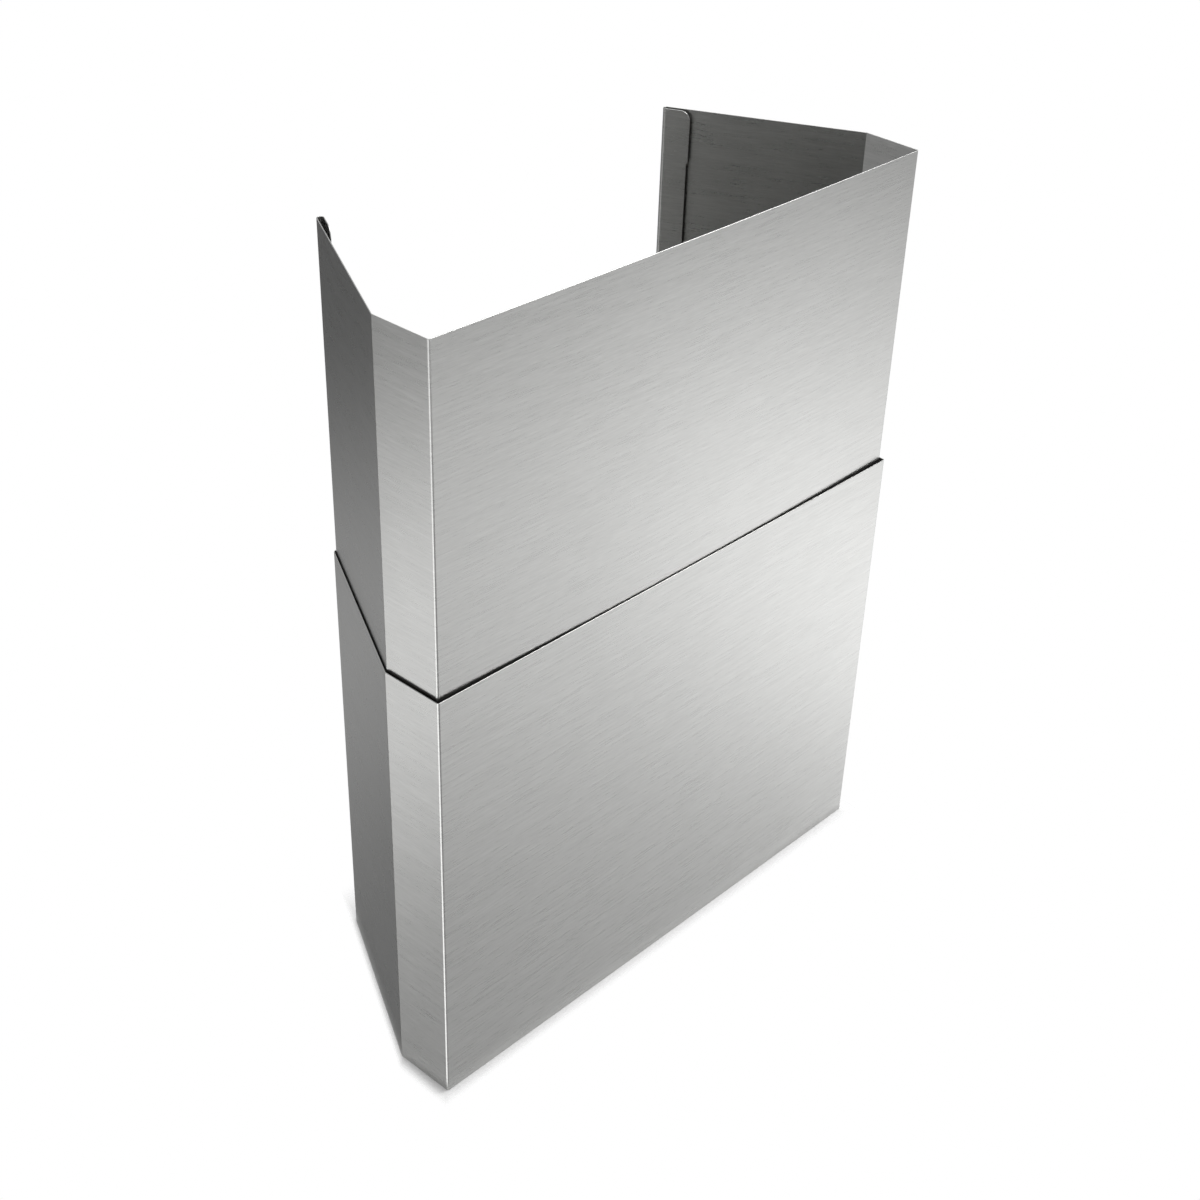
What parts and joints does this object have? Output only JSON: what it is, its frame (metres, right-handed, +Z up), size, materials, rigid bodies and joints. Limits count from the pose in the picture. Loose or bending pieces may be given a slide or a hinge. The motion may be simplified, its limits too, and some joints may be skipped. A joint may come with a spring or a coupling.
{
  "type": "cooker hood chimney section",
  "caption": "Telescopic chimney cover of a wall-mounted cooker hood: folded stainless sheets, open at the back, with the inner one sliding up and down inside the outer.",
  "frame": {"origin": "on the surface that the lower section stands on, under the middle of the whole part's width and depth", "axes": "+Z up along the slide, -Y out of the front, +Y to the wall, +X to the right seen from the front"},
  "size_m": [0.611, 0.2452, 0.785],
  "materials": {
    "brushed_stainless": "brushed, grain across the width of each panel"
  },
  "bodies": {
    "lower": {"lower_section": "brushed_stainless"},
    "upper": {"upper_section": "brushed_stainless"}
  },
  "joints": [
    {"name": "telescope", "type": "slide", "parent": "lower", "child": "upper", "axis": [0, 0, 1], "range_m": [-0.325, 0.085]}
  ]
}
